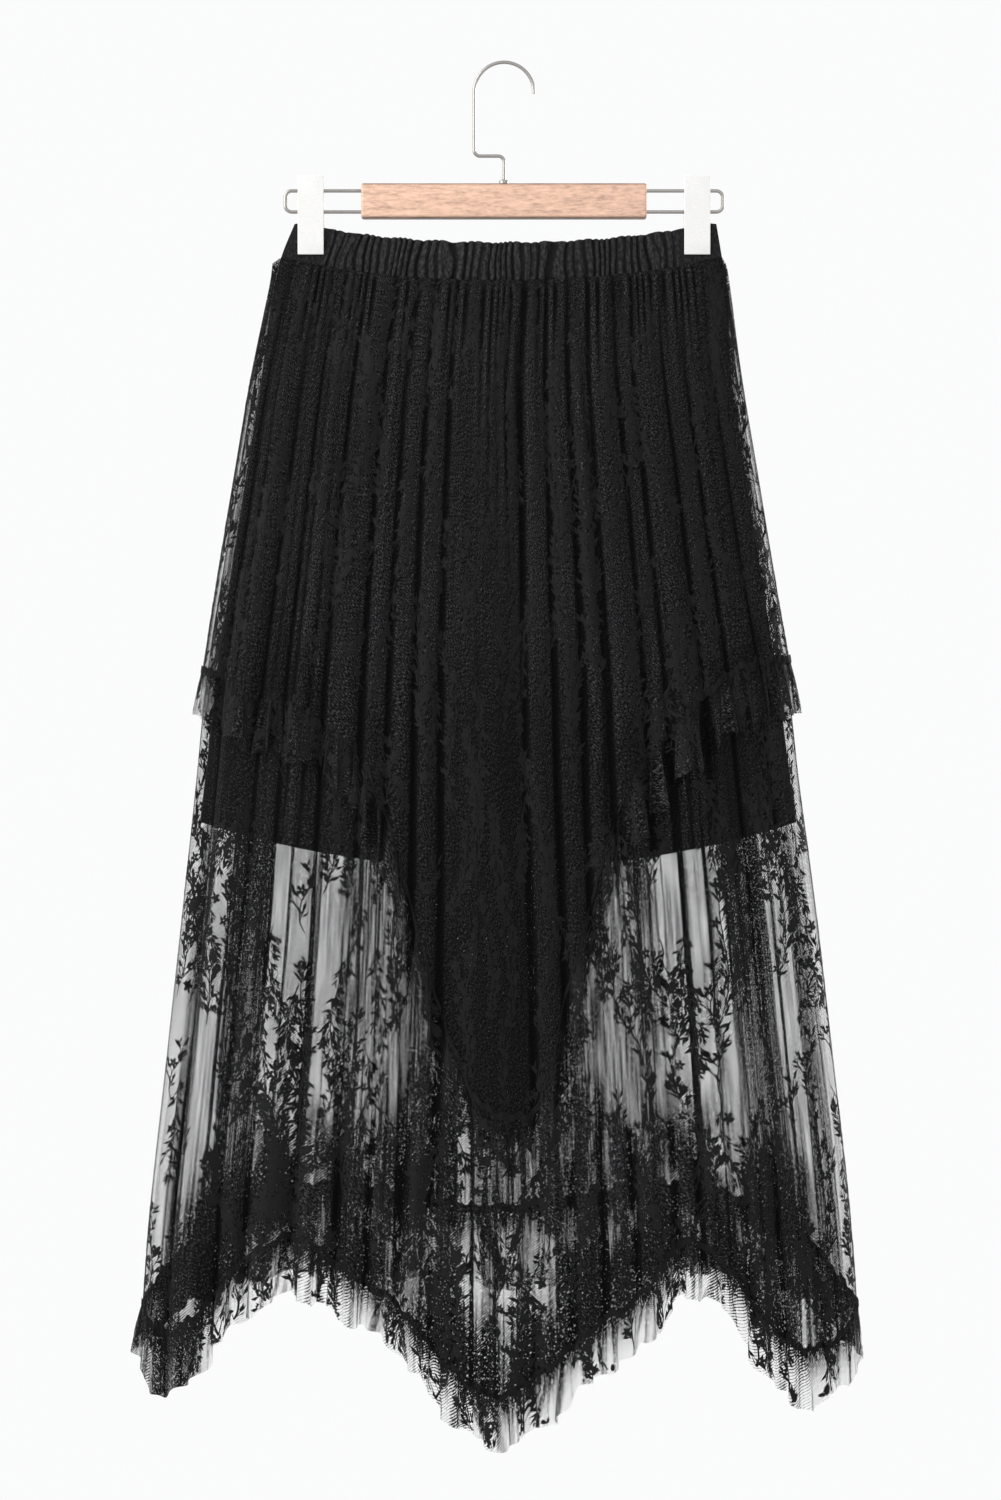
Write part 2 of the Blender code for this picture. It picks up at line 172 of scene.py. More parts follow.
LOWER_HEM_BACK = (
    (-1.00, -1.058, -1.100),
    (-0.85, -1.000, -1.060),
    (-0.60, -0.968, -1.040),
    (0.00, -0.985, -1.052),
    (0.60, -0.968, -1.040),
    (0.85, -1.000, -1.060),
    (1.00, -1.058, -1.106),
)
LOWER_HEMS = {1: LOWER_HEM_FRONT, -1: LOWER_HEM_BACK}

# Where cloth is bunched: the middle of each band across the width, its width, how many
# times closer the threads lie, and how far the band wanders sideways on its way down
BUNCHES = (
    (-0.924, 0.036, 3.6, 0.004),
    (-0.808, 0.062, 2.0, 0.010),
    (-0.737, 0.034, 3.6, 0.006),
    (-0.663, 0.007, 5.0, 0.005),
    (-0.588, 0.013, 7.0, 0.003),
    (-0.530, 0.008, 3.4, 0.004),
    (-0.456, 0.050, 3.0, 0.007),
    (-0.372, 0.105, 1.9, 0.009),
    (-0.262, 0.095, 2.8, 0.006),
    (-0.150, 0.060, 4.2, 0.012),
    (-0.075, 0.014, 5.0, 0.006),
    (-0.020, 0.042, 3.2, 0.010),
    (0.060, 0.030, 4.4, 0.008),
    (0.135, 0.018, 3.2, 0.005),
    (0.215, 0.075, 4.0, 0.007),
    (0.288, 0.048, 3.2, 0.005),
    (0.405, 0.150, 2.8, 0.011),
    (0.440, 0.012, 6.0, 0.006),
    (0.583, 0.012, 5.6, 0.003),
    (0.655, 0.020, 3.0, 0.007),
    (0.782, 0.088, 5.2, 0.008),
    (0.812, 0.010, 7.0, 0.005),
    (0.856, 0.010, 6.5, 0.003),
    (0.944, 0.034, 3.2, 0.004),
)

# How closely the threads lie away from the bunches: the least and the most that the border above
# a hem adds, then each ruffle's base, what its gathered head adds, and its share at the centre
HEM_BORDER = 0.10
BORDER = (1.4, 8.8)
LOWER_CENTRE_BORDER = {1: (5.0, 9.5), -1: (0.3, 2.0)}
LOWER_PLEATS = {1: (0.8, 9.0, 1.0), -1: (3.4, 14.0, 0.6)}
UPPER_PLEATS = (1.5, 11.0, 1.0)
UPPER_MIDDLE = 5.0
LOWER_PACKED_END = 5.5
LOWER_STRENGTH = 1.45
UPPER_STRENGTH = 0.9

# Lace motif: seed, relative length and blossoms of each spray, and how far apart the sprays lie
SPRAYS = ((3, 1.0, 2), (8, 1.3, 3), (15, 0.8, 2), (21, 1.1, 3), (34, 0.55, 1))
SPRAY_NARROWING = 0.8
STEM_STEP = 0.0075
STEM_WIDTH = 0.0011
BRANCH_WIDTH = 0.0008
PETALS = 5
MOTIF_SPACING = {"tier": (0.033, 0.090), "ruffle": (0.030, 0.046)}

# Stitches above the lining's hem
STITCH_ROWS = (0.017, 0.0205)
STITCH_PITCH = 0.0034
STITCH_SIZE = (0.0024, 0.0005, 0.0005, 1)
STITCH_MARGIN = 0.004

# Hanger
BAR_ROUNDING = 0.0022
CLIP_ROUNDING = 0.0003
FERRULE_BORE = 0.0018
FERRULE_CHAMFER = 0.0010
WIRE_RADIUS = 0.0015
HOOK_RADIUS = 0.0255
HOOK_BEND = 0.005
HOOK_STEP_Z = -0.0787
RAIL_END_X = 0.1870
RAIL_SPACING = 0.0180
RAIL_BEND = 0.0055
WIRE_INSERT = 0.010
WIRE_COLOUR = (0.34, 0.325, 0.305)
CLIP_COLOUR = (0.68, 0.675, 0.66)

# Studio: name, place, size and power of each light, then the floor and the camera
LIGHTS = (
    ("key_light", (-2.3, -1.2, 0.9), 3.0, 108.0),
    ("front_light", (0.6, -3.4, 0.6), 1.2, 8.0),
    ("back_light", (2.5, 1.3, 0.3), 1.2, 60.0),
)
LIT_PLACE = (0, 0, -0.6)
WORLD_COLOUR = (0.965, 0.967, 0.970, 1.0)
FLOOR_COLOUR = (0.50, 0.50, 0.50, 1.0)
FLOOR_RADIUS = 1.5
FLOOR_PLACE = (0, 0, -1.62)
CAMERA_PLACE = (-0.003, -3.2, -0.5865)
FRAME_HEIGHT = 1.2825
SENSOR_HEIGHT = 36.0


def table_curve(at, table, columns, name):
    """A smooth curve through one column of a table whose first column rises or falls steadily."""
    places = np.array([row[0] for row in table], float)
    values = np.array([row[columns.index(name)] for row in table], float)
    if places[0] > places[-1]:
        places, values = places[::-1], values[::-1]
    at = np.clip(at, places[0], places[-1])
    slopes = np.gradient(values, places)
    low = np.clip(np.searchsorted(places, at) - 1, 0, len(places) - 2)
    span = places[low + 1] - places[low]
    t = (at - places[low]) / span
    start = values[low] * (1 + 2 * t) * (1 - t) ** 2 + slopes[low] * span * t * (1 - t) ** 2
    end = values[low + 1] * t * t * (3 - 2 * t) + slopes[low + 1] * span * t * t * (t - 1)
    return start + end


def section(name, z):
    """One measure of the skirt's cross section at a height."""
    return table_curve(z, SECTIONS, SECTION_COLUMNS, name)


def hem_lines(table):
    """The heights of a ruffle's head and free edge across the width."""

    def line(name):
        return lambda across: table_curve(across, table, HEM_COLUMNS, name)

    return line("head"), line("edge")


def eased(share):
    """A smooth step from 0 to 1."""
    share = np.clip(share, 0.0, 1.0)
    return share * share * (3 - 2 * share)


def off_sides(across, distance):
    """0 at the side seams, rising to 1 at a distance from them."""
    return eased((1 - np.abs(across)) / distance)


def sagging(z, sag):
    """A line across the width at a height at the side seams, with a sag at the centre."""
    return lambda across: z - sag * (1 - across * across)


band_top = sagging(BAND_TOP_Z, BAND_TOP_SAG)
band_bottom = sagging(BAND_BOTTOM_Z, BAND_BOTTOM_SAG)
lining_hem = sagging(LINING_HEM_Z, LINING_HEM_SAG)


def rounded(across, z):
    """0 at the waistband, rising to 1 where the skirt hangs round."""
    return eased((band_bottom(across) - z) / ROUNDING_DROP)


def width_share(angle):
    """0 at the left seam and 1 at the right, nearly even along the cloth."""
    return 0.5 + 0.5 * (0.35 * angle / QUARTER_TURN + 0.65 * np.sin(angle))


def angle_at(share):
    """The angle round the oval at a share of the cloth, the reverse of width_share."""
    fine = np.linspace(-QUARTER_TURN, QUARTER_TURN, 4001)
    return np.interp(share, width_share(fine), fine)


def ruffle_phase(angle, shift):
    """Which wave of a ruffle lies at an angle, unevenly spread."""
    share = width_share(angle)
    unevenness = 0.22 * np.sin(6 * np.pi * share) + 0.12 * np.sin(14 * np.pi * share)
    return RUFFLE_WAVES * share + unevenness + 0.12 * np.sin(9 * angle + shift)


def oval(angle, z, lined):
    """The plain oval that a layer follows, pinched flat at the clips and rounder below."""
    across = np.sin(angle)
    rounding = rounded(across, z)
    inset = section("lining_inset", z) * rounding if lined else 0.0
    left = section("left", z) + inset
    right = section("right", z) - inset
    depth = section("lining_depth" if lined else "depth", z)
    pinch = np.minimum(np.abs(across) / PINCH_START, 1.0)
    lens = WAIST_OPEN * np.cos(QUARTER_TURN * pinch) ** 2
    x = (left + right) / 2 + (right - left) / 2 * across
    y = -(SEAM_GAP / 2 + (1 - rounding) * lens + rounding * depth * np.cos(angle))
    return x, y


def outward(angle, z, lined):
    """The unit normal of the plain oval, in x and y."""
    step = 0.0005
    low = np.maximum(angle - step, -QUARTER_TURN)
    high = np.minimum(angle + step, QUARTER_TURN)
    x0, y0 = oval(low, z, lined)
    x1, y1 = oval(high, z, lined)
    along_x, along_y = x1 - x0, y1 - y0
    length = np.maximum(np.hypot(along_x, along_y), 1e-12)
    flat = length < 1e-9
    return np.where(flat, 0.0, along_y / length), np.where(flat, -1.0, -along_x / length)


def fold_lift(across, z):
    """The main folds: round crests between narrow valleys that wander a little."""
    across = across + 0.004 * np.sin(9 * z + 5 * across) * off_sides(across, 0.1)
    valleys = np.array([-1.0, *FOLD_VALLEYS, 1.0])
    place = np.clip(np.searchsorted(valleys, across) - 1, 0, len(valleys) - 2)
    width = valleys[place + 1] - valleys[place]
    share = np.clip((across - valleys[place]) / width, 0, 1)
    half = (section("right", z) - section("left", z)) / 2
    height = section("fold", z) * np.minimum(width, WIDEST_FOLD) * half
    return height * np.sin(np.pi * share) ** 0.8


def folded(across, z, outset, raised):
    """How far a layer stands out: its own outset, what it gains below the band, and the folds."""
    return outset + raised * rounded(across, z) + fold_lift(across, z)


def fine_lift(across, z, count, height, drift):
    """Narrow pleats whose height comes and goes down the cloth."""
    phase = count * across + 1.3 * np.sin(7.1 * across + drift)
    phase = phase + 0.6 * np.sin(19 * across) + 0.3 * np.sin(6 * z + drift)
    strength = np.clip(0.20 + 0.80 * np.sin(0.37 * count * across + 5.1 * z + 2 * drift), 0, 1)
    return height * strength * np.abs(np.sin(np.pi * phase)) ** 0.6


class Cloth:
    """A hung layer: its side, its top and bottom lines, how it stands out and how it is bunched.

    The closer its threads lie at a place, the more of its flat width is taken up there.
    """

    def __init__(self, side, top, bottom, lift, bunch, flat_width, lined=False):
        self.side = side
        self.top = top
        self.bottom = bottom
        self.lift = lift
        self.bunch = bunch
        self.flat_width = flat_width
        self.lined = lined
        fine = np.linspace(0, 1, 3001)
        across = np.sin(angle_at(fine))
        density = self.bunch(across, (top(across) + bottom(across)) / 2) ** 0.6
        self.flat_shares = np.concatenate(([0.0], np.cumsum((density[1:] + density[:-1]) / 2)))
        self.flat_shares /= self.flat_shares[-1]
        self.shares = fine

    def flat_across(self, share):
        """How far along the flat cut a share of the hung width lies."""
        return np.interp(share, self.shares, self.flat_shares) * self.flat_width

    def share_at(self, flat):
        """The share of the hung width at a place along the flat cut."""
        return np.interp(flat / self.flat_width, self.flat_shares, self.shares)

    def height(self, across):
        return self.top(across) - self.bottom(across)

    def level(self, across, down):
        """The height of a place, down from 0 at the layer's top to 1 at its hem."""
        return self.top(across) - self.height(across) * down

    def points(self, angle, down, proud=0.0):
        """Points on the layer, down from 0 at its top to 1 at its hem."""
        across = np.sin(angle)
        z = self.level(across, down)
        out, sway, dip = self.lift(self.side * across, z, down, angle)
        x, y = oval(angle, z, self.lined)
        normal_x, normal_y = outward(angle, z, self.lined)
        x = x + normal_x * (out + proud) - normal_y * sway * self.side
        y = y + normal_y * (out + proud)
        y = np.minimum(y, -SEAM_GAP / 2)
        return np.stack([x, self.side * y, z - dip], axis=-1)


def crest(cloth, angle, down):
    """How far a point lies on a crest, 1, or in the valley between two gathers, 0."""

    def out(at):
        at = np.clip(at, -QUARTER_TURN, QUARTER_TURN)
        across = np.sin(at)
        return cloth.lift(cloth.side * across, cloth.level(across, down), down, at)[0]

    bend = out(angle) - (out(angle - CREST_REACH) + out(angle + CREST_REACH)) / 2
    below = BAND_BOTTOM_Z - cloth.level(np.sin(angle), down)
    tight = 1.0 - 0.6 * eased(1 - below / ROUNDING_DROP)
    return np.clip(0.5 + bend / (CREST_HEIGHT * tight), 0.0, 1.0)


def centre_share(across):
    """1 near the centre, where the hem hangs lowest, and 0 further out."""
    return eased((0.30 - np.abs(across)) / 0.12)


def plain_net(hem, packed, centre_border):
    """A tier's net away from the bunches: closest under the waistband and in the border above its
    hem, and on the upper tier packed close down its middle."""

    def base(across, z):
        total = 1.75 + 1.5 * np.exp(-(band_bottom(across) - z) / 0.15)
        patchy = 0.5 + 0.5 * np.sin(23.0 * across + 2.0 * np.sin(7.0 * across + 30.0 * z))
        inside = 1 - 0.85 * eased((np.abs(across) - 0.90) / 0.04)
        centre = centre_share(across)
        least, most = (
            outer + (inner - outer) * centre for outer, inner in zip(BORDER, centre_border, strict=True)
        )
        border = (least + (most - least) * patchy) * inside
        total = total + border * eased(1 - (z - hem(across)) / HEM_BORDER)
        middle = eased((0.44 - np.abs(across)) / 0.16) * eased((-0.42 - z) / 0.16)
        return total + packed * middle

    return base


def side_margin(across):
    """1 in the sheer margin at each side and 0 further in."""
    return eased((np.abs(across) - 0.940) / 0.025)


def bunch_of(side, base, strength):
    """How closely the threads lie across a tier: the plain net, the table of bunches, the sheer
    margins and the seams at the sides."""

    def bunch(across, z):
        total = base(across, z)
        for middle, width, closeness, wander in BUNCHES:
            centre = side * middle + wander * np.sin(6.5 * z + 20.0 * middle)
            spread = width * (1.05 + 0.35 * np.sin(5.0 * z + 31.0 * middle))
            edge = eased((spread / 2 - np.abs(across - centre)) / 0.004 + 0.5)
            fading = 0.75 + 0.25 * np.sin(9.0 * z + 17.0 * middle)
            total = np.maximum(total, base(across, z) + (closeness - 1) * strength * edge * fading)
        seam = 3.0 * eased((np.abs(across) - 0.995) / 0.003)
        return total * (1 - 0.35 * side_margin(across)) + seam

    return bunch


def tier_lift(outset, raised, side):
    """The main folds, loose pleats, and puckers under the waistband with a shoulder at the left."""

    def lift(across, z, down, angle):
        below = np.maximum(band_bottom(across) - z, 0.0)
        open_side = off_sides(across, SIDE_FADE)
        pleats = fine_lift(across, z, PLEAT_COUNT, PLEAT_HEIGHT, side)
        out = folded(across, z, outset, raised) + open_side * pleats * rounded(across, z)
        places = 38 * across + 1.9 * np.sin(9 * across) + 0.9 * np.sin(31 * across)
        puckers = open_side * (0.5 + 0.5 * np.sin(np.pi * places)) ** 0.6
        puckered = (0.0026 + 0.0022 * puckers) * (1 - 0.8 * np.maximum(np.sin(angle), 0) ** 9)
        started = eased(below / PUCKER_START)
        out = out + puckered * started * np.exp(-below / PUCKER_REACH)
        shoulder = 0.0042 * np.minimum(np.sin(angle), 0) ** 9 * started * np.exp(-below / SHOULDER_REACH)
        return out, side * shoulder, np.zeros_like(out)

    return lift


def ruffle_lift(outset, raised, depth, shift, sway_width):
    """Waves that grow to the free edge, lean over one another and leave the edge uneven. They are
    shallower at the right end."""

    def lift(across, z, down, angle):
        phase = ruffle_phase(angle, shift)
        swell = 0.75 + 0.25 * np.sin(7.3 * angle + 3 * shift)
        ends = off_sides(across, SIDE_FADE)
        grown = down**0.7
        shallower = 1 - 0.5 * np.maximum(np.sin(angle), 0) ** 30
        wave = (0.5 + 0.5 * np.cos(FULL_TURN * phase)) * shallower
        second = 0.22 * np.sin(FULL_TURN * (2.6 * phase + shift)) * ends
        out = folded(across, z, outset, raised) + depth * grown * swell * (wave + second)
        lean = np.sin(2 * FULL_TURN * phase + shift) + 0.55 * np.sin(3.4 * FULL_TURN * phase + 2 * shift)
        sway = sway_width * grown * swell * lean * ends
        head = 0.0018 * np.sin(FULL_TURN * (1.7 * phase + shift))
        head = head + 0.0010 * np.sin(FULL_TURN * 4.1 * phase) - 0.0024
        edge = 0.0040 * np.sin(FULL_TURN * (0.8 * phase + 0.2))
        edge = edge + 0.0014 * np.sin(FULL_TURN * (2.3 * phase + shift))
        dip = (head * (1 - down) + edge * down) * ends
        return out, sway, dip

    return lift


def ruffle_bunch(pleats, shift, top, packed_end):
    """How closely a ruffle's threads lie: close at the gathered head, with pleats as lines of closer
    threads, darker from the denser net and from painted shade, that fade towards the free edge, packed at
    the left end, and with its own share at the centre."""
    base, head, centred = pleats

    def bunch(across, z):
        angle = np.arcsin(np.clip(across, -1, 1))
        phase = ruffle_phase(angle, shift)
        down = np.clip((top(across) - z) / RUFFLE_FALL, 0, 1)
        total = base + head * (1 - down) ** 2.8 + packed_end * eased((-0.80 - across) / 0.08)
        total = total * (1 + (centred - 1) * centre_share(across))
        for rate, start, reach in ((2.3, 0.2, 1.0), (3.7, 0.6, 0.7), (1.3, 0.1, 0.9)):
            place = (phase * rate + start + 0.5 * down * np.sin(3 * phase)) % 1 - 0.5
            crease = eased((0.036 * rate - np.abs(place)) / (0.016 * rate) + 0.5)
            strong = 0.5 + 0.5 * np.sin(5.1 * phase * rate + shift)
            total = total + 5.2 * reach * crease * strong * (1 - 0.35 * down)
        return total * (1 - 0.55 * side_margin(np.minimum(across, 0)))

    return bunch


def even(across, z):
    """Threads equally close everywhere."""
    return np.full(np.broadcast(across, z).shape, 1.0)


def lining_lift(across, z, down, angle):
    """A faint ripple that starts a little under the waistband."""
    ripple = 0.0006 * np.sin(37 * across + 3 * z) * eased(down * 3)
    still = np.zeros_like(ripple)
    return WALL / 2 + ripple, still, still


def finish_piece(obj, material, nodes=()):
    """Gives a piece its material, body and slot, and the nodes that it replaces."""
    obj.data.materials.clear()
    obj.data.materials.append(material)
    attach(obj, "root")
    if nodes:
        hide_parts(*nodes)
    return obj


def linked(name, data):
    """A new object that shows a mesh, curve, light or camera."""
    obj = bpy.data.objects.new(name, data)
    bpy.context.scene.collection.objects.link(obj)
    return obj


def mesh_object(name, shape):
    """A new object from a bmesh, which is freed."""
    mesh = bpy.data.meshes.new(name)
    shape.to_mesh(mesh)
    shape.free()
    return linked(name, mesh)


def smoothed(obj, degrees):
    """Smooth shading, but sharp where faces turn by more than an angle."""
    obj.data.shade_smooth()
    obj.data.set_sharp_from_angle(angle=math.radians(degrees))
    return obj


def thickened(obj, name, thickness, offset):
    """Gives a sheet its thickness, inwards at an offset of -1 and to both sides at 0."""
    thicken = obj.modifiers.new(name, "SOLIDIFY")
    thicken.thickness = thickness
    thicken.offset = offset


def cloth_grid(name, cloth, kind):
    """A grid laid over a layer, with its flat cut as UVs, and its bunching and crests as attributes."""
    columns, rows = GRIDS[kind]
    shape = bmesh.new()
    bmesh.ops.create_grid(shape, x_segments=columns, y_segments=rows, size=0.5)
    obj = mesh_object(name, shape)
    mesh = obj.data
    flat = np.zeros(len(mesh.vertices) * 3, np.float32)
    mesh.vertices.foreach_get("co", flat)
    flat = flat.reshape(-1, 3)
    share = flat[:, 0].astype(float) + 0.5
    down = 0.5 - flat[:, 1].astype(float)
    angle = angle_at(share)
    points = cloth.points(angle, down)
    mesh.vertices.foreach_set("co", points.astype(np.float32).ravel())
    across = np.sin(angle)
    cut = np.stack([cloth.flat_across(share), -down * cloth.height(across)], axis=-1)
    loops = np.zeros(len(mesh.loops), np.int32)
    mesh.loops.foreach_get("vertex_index", loops)
    layer = mesh.uv_layers.new(name="cut")
    layer.data.foreach_set("uv", cut[loops].astype(np.float32).ravel())
    bunched = cloth.bunch(across, cloth.level(across, down))
    for label, values in (("bunched", bunched), ("crest", crest(cloth, angle, down))):
        made = mesh.attributes.new(label, "FLOAT", "POINT")
        made.data.foreach_set("value", values.astype(np.float32))
    if cloth.side < 0:
        mesh.flip_normals()
    mesh.update()
    mesh.shade_smooth()
    return obj


def moved(x, y, turn, reach):
    """The point that lies at a distance from x, y in the direction of turn."""
    return x + math.cos(turn) * reach, y + math.sin(turn) * reach


def add_leaf(shape, middle, turn, length, width, corners):
    """A flat leaf or petal with few corners."""
    turned = Matrix.Translation((*middle, 0)) @ Matrix.Rotation(turn, 4, "Z")
    place = turned @ Matrix.Diagonal((length, width, 1, 1))
    bmesh.ops.create_circle(shape, cap_ends=True, segments=corners, radius=0.5, matrix=place)


def add_stem(shape, points, width):
    """A ribbon along points in the flat cloth."""
    made = bmesh.ops.create_grid(shape, x_segments=len(points) - 1, y_segments=1, size=0.5)
    for vert in made["verts"]:
        place = int(round((vert.co.x + 0.5) * (len(points) - 1)))
        before = Vector(points[max(place - 1, 0)])
        after = Vector(points[min(place + 1, len(points) - 1)])
        along = (after - before).normalized()
        level = 1 if vert.co.y > 0 else -1
        vert.co = Vector((*points[place], 0)) + Vector((-along.y, along.x, 0)) * level * width / 2


def spray_shape(seed, length, flowers):
    """One flat twig with small leaves and open blossoms, growing up from its foot."""
    draw = np.random.RandomState(seed)
    shape = bmesh.new()
    bend = draw.uniform(-0.10, 0.10)
    steps = int(length / STEM_STEP)
    path = [
        (bend * length * math.sin(5.0 * i / steps) + draw.uniform(-0.0006, 0.0006), length * i / steps)
        for i in range(steps + 1)
    ]
    add_stem(shape, path, STEM_WIDTH)
    for x, y in path[1:]:
        fullness = 0.45 + 0.55 * math.sin(math.pi * y / length)
        for level in (-1, 1):
            if draw.uniform() < 0.28:
                continue
            turn = math.pi / 2 - level * draw.uniform(0.2, 0.75)
            reach = draw.uniform(0.007, 0.019) * fullness
            tip = moved(x, y, turn, reach)
            add_stem(shape, [(x, y), tip], BRANCH_WIDTH)
            for _ in range(draw.randint(4, 8)):
                lean = turn + draw.uniform(-0.75, 0.75)
                size = draw.uniform(0.0045, 0.0105)
                share = draw.uniform(0.20, 1.0)
                foot = (x + (tip[0] - x) * share, y + (tip[1] - y) * share)
                add_leaf(shape, moved(*foot, lean, size / 2), lean, size, size * 0.28, 4)
    for place in range(flowers):
        x, y = path[int((place + draw.uniform(0.2, 0.8)) / flowers * steps)]
        x += draw.uniform(0.004, 0.010) * (1 if place % 2 else -1)
        start = draw.uniform(0, 1.2)
        radius = draw.uniform(0.0030, 0.0044)
        for petal in range(PETALS):
            turn = start + petal * FULL_TURN / PETALS
            add_leaf(shape, moved(x, y, turn, radius * 0.72), turn, radius * 1.35, radius * 0.80, 6)
    bmesh.ops.scale(shape, vec=(SPRAY_NARROWING, 1, 1), verts=shape.verts)
    bmesh.ops.triangulate(shape, faces=shape.faces)
    shape.verts.index_update()
    points = np.array([vert.co[:2] for vert in shape.verts])
    faces = np.array([[vert.index for vert in face.verts] for face in shape.faces])
    shape.free()
    return points, faces


def add_motif(name, cloth, sprays, spacing, rows_apart, seed, material):
    """Copies of the sprays laid over the flat cut, then mapped onto the hung layer as one mesh."""
    draw = np.random.RandomState(seed)
    depth = float(np.max(cloth.height(np.linspace(-1, 1, 81))))
    points, faces, first = [], [], 0
    for row in range(int(depth / rows_apart) + 2):
        offset = draw.uniform(0, spacing)
        for place in range(int(cloth.flat_width / spacing) + 2):
            shape_points, shape_faces = sprays[draw.randint(len(sprays))]
            turn = draw.normal(0, 0.16) + (math.pi if draw.uniform() < 0.35 else 0)
            size = draw.uniform(0.85, 1.15)
            cosine, sine = math.cos(turn), math.sin(turn)
            turned = shape_points @ (size * np.array([[cosine, sine], [-sine, cosine]]))
            x = offset + (place - 1) * spacing + draw.uniform(-0.3, 0.3) * spacing
            y = -row * rows_apart + draw.uniform(-0.35, 0.35) * rows_apart
            points.append(turned + (x, y))
            faces.append(shape_faces + first)
            first += len(shape_points)
    points = np.concatenate(points)
    faces = np.concatenate(faces)
    share = cloth.share_at(np.clip(points[:, 0], 0, cloth.flat_width))
    angle = angle_at(share)
    height = cloth.height(np.sin(angle))
    down = -points[:, 1] / height
    inside = (points[:, 0] > 0.002) & (points[:, 0] < cloth.flat_width - 0.002)
    inside &= (down > 0.004) & (down < 1.0 - 0.0015 / height)
    faces = faces[inside[faces].all(axis=1)]
    used, faces = np.unique(faces, return_inverse=True)
    faces = faces.reshape(-1, 3)
    placed = cloth.points(angle[used], down[used], MOTIF_PROUD)
    mesh = bpy.data.meshes.new(name)
    mesh.from_pydata(placed.tolist(), [], faces.tolist())
    if cloth.side > 0:
        mesh.flip_normals()
    mesh.shade_smooth()
    return finish_piece(linked(name, mesh), material)


class Shader:
    """A material's node tree, with short calls for the nodes that the skirt's finishes share."""

    def __init__(self, name):
        self.material = bpy.data.materials.new(name)
        self.material.use_nodes = True
        self.nodes = self.material.node_tree.nodes
        self.links = self.material.node_tree.links
        self.principled = self.nodes["Principled BSDF"]

    def set(self, socket, value):
        self.principled.inputs[socket].default_value = value

    def matt(self, roughness, specular, sheen):
        self.set("Roughness", roughness)
        self.set("Specular IOR Level", specular)
        self.set("Sheen Weight", sheen)

    def feed(self, socket, output):
        self.links.new(output, self.principled.inputs[socket])

    def add(self, kind, *values, **named):
        """A new node whose inputs, by place or by name, are linked to a socket or set to a value."""
        node = self.nodes.new("ShaderNode" + kind)
        for socket, value in (*enumerate(values), *named.items()):
            if hasattr(value, "is_output"):
                self.links.new(value, node.inputs[socket])
            else:
                node.inputs[socket].default_value = value
        return node

    def maths(self, operation, *values):
        node = self.add("Math", *values)
        node.operation = operation
        return node.outputs[0]

    def uv(self):
        node = self.add("UVMap")
        node.uv_map = "cut"
        return node.outputs["UV"]

    def object_place(self):
        return self.add("TexCoord").outputs["Object"]

    def split(self, vector):
        return self.add("SeparateXYZ", vector).outputs

    def attribute(self, name):
        node = self.add("Attribute")
        node.attribute_name = name
        return node.outputs["Fac"]

    def stretched(self, vector, scale):
        return self.add("Mapping", vector, Scale=scale).outputs["Vector"]

    def noise(self, vector, scale, detail=2.0, roughness=0.5):
        node = self.add("TexNoise", Vector=vector, Scale=scale, Detail=detail, Roughness=roughness)
        return node.outputs["Fac"]

    def spread(self, value, low, high, to_low=0.0, to_high=1.0):
        return self.add("MapRange", value, low, high, to_low, to_high).outputs[0]

    def ramp(self, value, colour, stops):
        """Shades of one colour, given as places on the ramp and how bright each shade is."""
        node = self.add("ValToRGB", value)
        elements = node.color_ramp.elements
        while len(elements) < len(stops):
            elements.new(0.5)
        for element, (place, bright) in zip(elements, stops, strict=True):
            element.position = place
            element.color = (*(part * bright for part in colour), 1.0)
        return node.outputs["Color"]

    def scaled(self, colour, share):
        node = self.add("VectorMath", colour)
        node.operation = "SCALE"
        self.links.new(share, node.inputs["Scale"])
        return node.outputs[0]

    def painted_fold_shading(self, colour, valley, ridge):
        """A colour with painted shade in the valleys between gathers and a painted highlight on their
        crests.
        """
        return self.scaled(colour, self.spread(self.attribute("crest"), 0.1, 0.9, valley, ridge))

    def bump(self, height, distance, strength=1.0):
        node = self.add("Bump", Height=height, Distance=distance, Strength=strength)
        self.feed("Normal", node.outputs["Normal"])

    def lines(self, value, pitch):
        """Distance from the nearest of a set of even lines, 0 on a line and 1 midway between two."""
        place = self.maths("FRACT", self.maths("DIVIDE", value, pitch))
        return self.maths("MULTIPLY", self.maths("ABSOLUTE", self.maths("SUBTRACT", place, 0.5)), 2.0)


